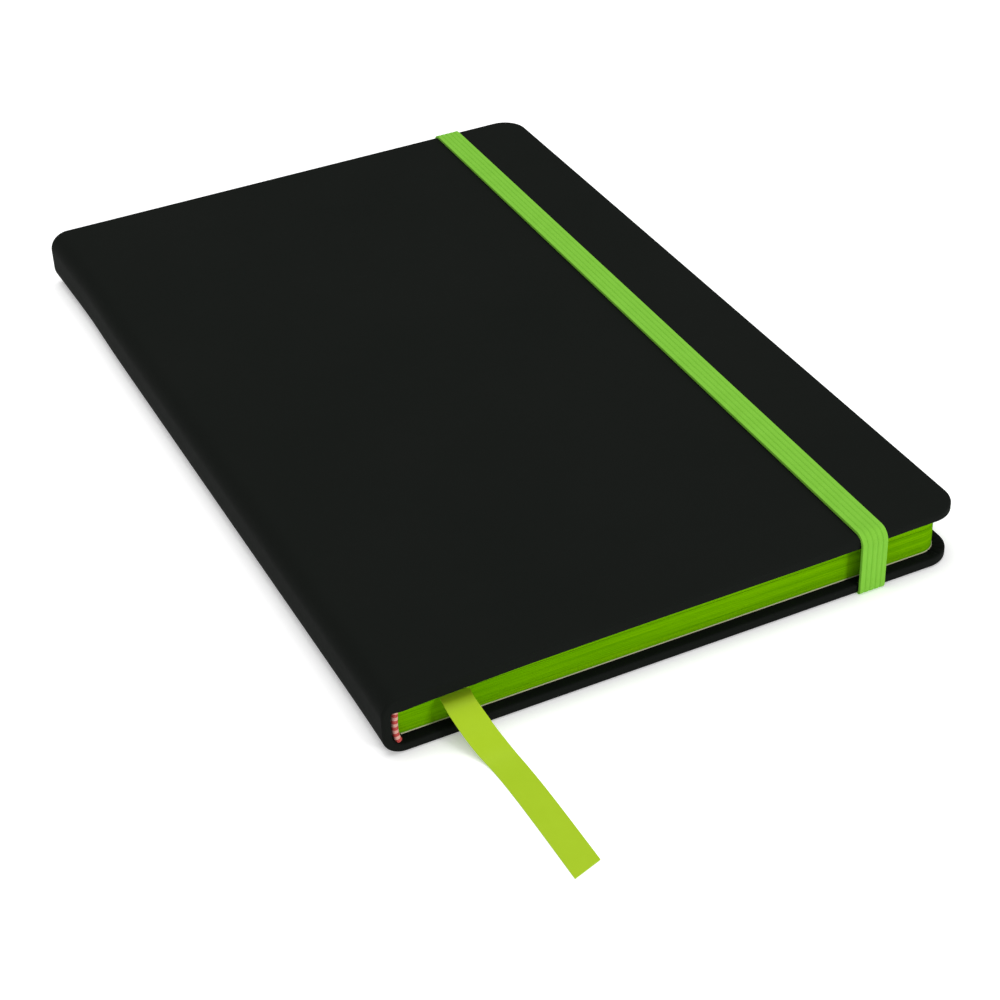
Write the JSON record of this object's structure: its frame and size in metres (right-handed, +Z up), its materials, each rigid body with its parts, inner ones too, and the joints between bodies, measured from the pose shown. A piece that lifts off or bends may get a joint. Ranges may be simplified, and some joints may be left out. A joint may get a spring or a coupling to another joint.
{
  "type": "hard-cover notebook with elastic closure",
  "caption": "Hard-cover sewn notebook with rounded corners, coloured page edges, ribbon marker and an elastic closure band.",
  "frame": {"origin": "middle of the shut book's footprint on the surface it lies on, at the back cover's outer face", "axes": "+X towards the fore edge, +Y towards the head, +Z up from the back cover to the front cover"},
  "size_m": [0.1332, 0.2568, 0.0149],
  "materials": {
    "cover_leathercloth": "matt soft-touch leathercloth, near black",
    "greyboard": "uncoated greyboard",
    "endpaper": "uncoated cream paper",
    "page_paper": "cream paper with lime green edges",
    "mull_cloth": "open cotton weave",
    "headband_cord": "red and white striped bead",
    "linen_thread": "waxed white thread",
    "ribbon_satin": "lime green satin ribbon",
    "elastic_webbing": "lime green ribbed elastic webbing"
  },
  "bodies": {
    "text_block": {"section_01": "page_paper", "section_02": "page_paper", "section_03": "page_paper", "section_04": "page_paper", "section_05": "page_paper", "section_06": "page_paper", "section_07": "page_paper", "section_08": "page_paper", "section_09": "page_paper", "section_10": "page_paper", "section_11": "page_paper", "section_12": "page_paper", "back_flyleaf": "endpaper", "spine_skin": "cover_leathercloth", "spine_card": "greyboard", "spine_mull": "mull_cloth", "spine_lining": "endpaper", "headband": "headband_cord", "tailband": "headband_cord", "sewing_threads": "linen_thread", "ribbon_inside": "ribbon_satin", "ribbon_tail": "ribbon_satin"},
    "front_cover": {"front_board": "greyboard", "front_cover_skin": "cover_leathercloth", "front_pastedown": "endpaper"},
    "back_cover": {"back_board": "greyboard", "back_cover_skin": "cover_leathercloth", "back_pastedown": "endpaper", "elastic_anchor_head": "elastic_webbing", "elastic_anchor_tail": "elastic_webbing"},
    "front_leaf": {"front_flyleaf": "endpaper"},
    "elastic_band": {"elastic_strap": "elastic_webbing", "elastic_leg_head": "elastic_webbing", "elastic_leg_tail": "elastic_webbing"}
  },
  "joints": [
    {"name": "front_cover_hinge", "type": "hinge", "parent": "text_block", "child": "front_cover", "pos_m": [-0.0646, 0, 0.01174], "axis": [0, -1, 0], "range_deg": [0, 178]},
    {"name": "back_cover_hinge", "type": "hinge", "parent": "text_block", "child": "back_cover", "pos_m": [-0.0646, 0, 0.0023], "axis": [0, 1, 0], "range_deg": [0, 178]},
    {"name": "front_flyleaf_turn", "type": "hinge", "parent": "text_block", "child": "front_leaf", "pos_m": [-0.0646, 0, 0.01174], "axis": [0, -1, 0], "range_deg": [0, 175]},
    {"name": "elastic_pull_off", "type": "slide", "parent": "back_cover", "child": "elastic_band", "axis": [1, 0, 0], "range_m": [0, 0.028], "stiffness_N_per_m": 100, "deforming": ["elastic_strap", "elastic_leg_head", "elastic_leg_tail"]}
  ],
  "couplings": [
    {"joint": "front_flyleaf_turn", "follows": "front_cover_hinge", "ratio": 0.98}
  ]
}
